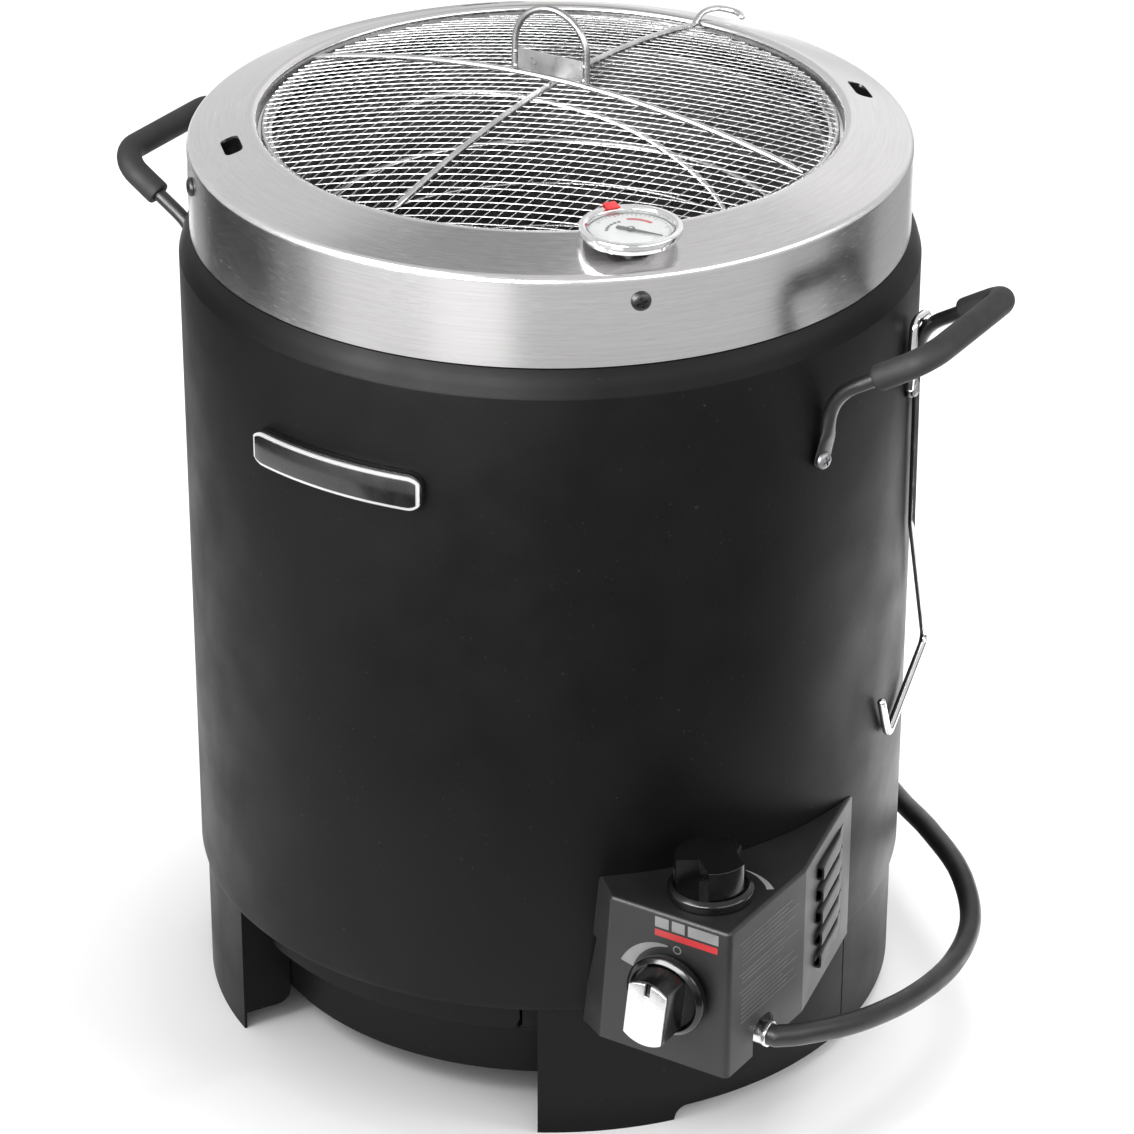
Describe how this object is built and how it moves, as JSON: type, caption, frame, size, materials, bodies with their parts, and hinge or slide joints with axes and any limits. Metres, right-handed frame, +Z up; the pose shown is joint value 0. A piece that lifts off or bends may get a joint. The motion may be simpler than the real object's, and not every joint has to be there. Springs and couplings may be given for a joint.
{
  "type": "turkey fryer kit",
  "caption": "Floor-standing infrared propane turkey fryer with mesh lid, basket, drip tray, side handles, gas controls and hose, dial thermometer and wire lifter.",
  "frame": {"origin": "on the floor at the centre of the cylindrical body", "axes": "+Z up along the body axis; -Y is the front with the badge and the drip tray; +X is the side with the gas controls"},
  "size_m": [0.5389, 0.4622, 0.5987],
  "materials": {
    "black_powder": "satin",
    "brushed_stainless": "brushed",
    "chamber_steel": "dull",
    "bright_wire": "bright",
    "polished_chrome": "polished",
    "brass": "plain",
    "black_screw": "satin",
    "grip_foam": "matte",
    "gloss_plastic": "gloss",
    "hose_rubber": "semi-matte",
    "burner_iron": "rough",
    "zinc_casting": "matte",
    "ceramic": "glazed",
    "dial_white": "matte",
    "marker_red": "satin",
    "lens": "clear",
    "badge_black": "gloss"
  },
  "bodies": {
    "fryer_body": {"outer_shell": "black_powder", "leg_front_left": "black_powder", "leg_front_right": "black_powder", "leg_rear_skirt": "black_powder", "base_pan": "black_powder", "control_panel": "black_powder", "handle_rod_left": "black_powder", "handle_rod_right": "black_powder", "top_ring": "brushed_stainless", "cooking_chamber": "chamber_steel", "hose_ferrule": "polished_chrome", "gas_valve": "brass", "ring_screw_front_right": "black_screw", "ring_screw_rear_right": "black_screw", "ring_screw_rear_left": "black_screw", "ring_screw_front_left": "black_screw", "handle_screw_front_right": "black_screw", "handle_screw_rear_right": "black_screw", "handle_screw_rear_left": "black_screw", "handle_screw_front_left": "black_screw", "handle_grip_left": "grip_foam", "handle_grip_right": "grip_foam", "igniter_module": "gloss_plastic", "gas_hose": "hose_rubber", "igniter_lead": "hose_rubber", "burner_ring": "burner_iron", "venturi_tube": "burner_iron", "gas_inlet_pipe": "zinc_casting", "gas_regulator": "zinc_casting", "igniter_electrode": "ceramic", "badge": "badge_black"},
    "lid": {"lid_rim": "bright_wire", "lid_mesh": "bright_wire", "lid_cross_wire": "bright_wire", "lid_hook_wire": "bright_wire", "lid_loop": "bright_wire", "lid_tag_plate": "bright_wire"},
    "basket_body": {"basket": "bright_wire", "basket_bail": "bright_wire"},
    "tray": {"drip_tray": "black_powder"},
    "valve_plug": {"gas_valve_plug": "brass"},
    "knob": {"gas_valve_stem": "zinc_casting", "gas_knob": "gloss_plastic", "gas_knob_plate": "polished_chrome"},
    "igniter": {"igniter_knob": "gloss_plastic", "igniter_shaft": "zinc_casting"},
    "thermometer": {"thermometer_case": "polished_chrome", "thermometer_dial": "dial_white", "thermometer_lens": "lens", "thermometer_stem": "polished_chrome"},
    "pointer": {"thermometer_pointer": "black_screw"},
    "marker": {"thermometer_marker": "marker_red"},
    "lifter": {"lifter_hook": "polished_chrome"},
    "nut": {"regulator_nut": "gloss_plastic"}
  },
  "joints": [
    {"name": "lid_lift", "type": "slide", "parent": "fryer_body", "child": "lid", "axis": [0, 0, 1], "range_m": [0, 0.42]},
    {"name": "basket_lift", "type": "slide", "parent": "fryer_body", "child": "basket_body", "axis": [0, 0, 1], "range_m": [0, 0.34]},
    {"name": "thermometer_lift", "type": "slide", "parent": "fryer_body", "child": "thermometer", "axis": [0, 0, 1], "range_m": [0, 0.425]},
    {"name": "pointer_turn", "type": "hinge", "parent": "thermometer", "child": "pointer", "pos_m": [0.12551, -0.12551, 0.5419], "axis": [0, 0, -1], "range_deg": [0, 270]},
    {"name": "marker_turn", "type": "hinge", "parent": "thermometer", "child": "marker", "pos_m": [0.12551, -0.12551, 0.5444], "axis": [0, 0, 1], "range_deg": [-135, 135]},
    {"name": "tray_slide", "type": "slide", "parent": "fryer_body", "child": "tray", "axis": [0, -1, 0], "range_m": [0, 0.25]},
    {"name": "gas_knob_turn", "type": "hinge", "parent": "fryer_body", "child": "valve_plug", "pos_m": [0.1861, -0.175, 0.1255], "axis": [0, -1, 0], "range_deg": [0, 90]},
    {"name": "gas_knob_push", "type": "slide", "parent": "valve_plug", "child": "knob", "axis": [0, 1, 0], "range_m": [0, 0.004], "stiffness_N_per_m": 500, "springref_m": -0.004},
    {"name": "igniter_turn", "type": "hinge", "parent": "fryer_body", "child": "igniter", "pos_m": [0.1906, -0.1433, 0.1715], "axis": [0, 0, 1], "range_deg": [0, 90], "stiffness_Nm_per_rad": 0.12, "springref_deg": -11.46},
    {"name": "lifter_lift", "type": "slide", "parent": "fryer_body", "child": "lifter", "axis": [0, 0, 1], "range_m": [0, 0.1]},
    {"name": "nut_turn", "type": "hinge", "parent": "fryer_body", "child": "nut", "pos_m": [-0.0043, 0.23, 0.066], "axis": [-1, 0, 0], "continuous": true}
  ],
  "couplings": [
    {"joint": "basket_lift", "follows": "lid_lift", "ratio": 0.8},
    {"joint": "thermometer_lift", "follows": "lid_lift", "ratio": 1}
  ]
}
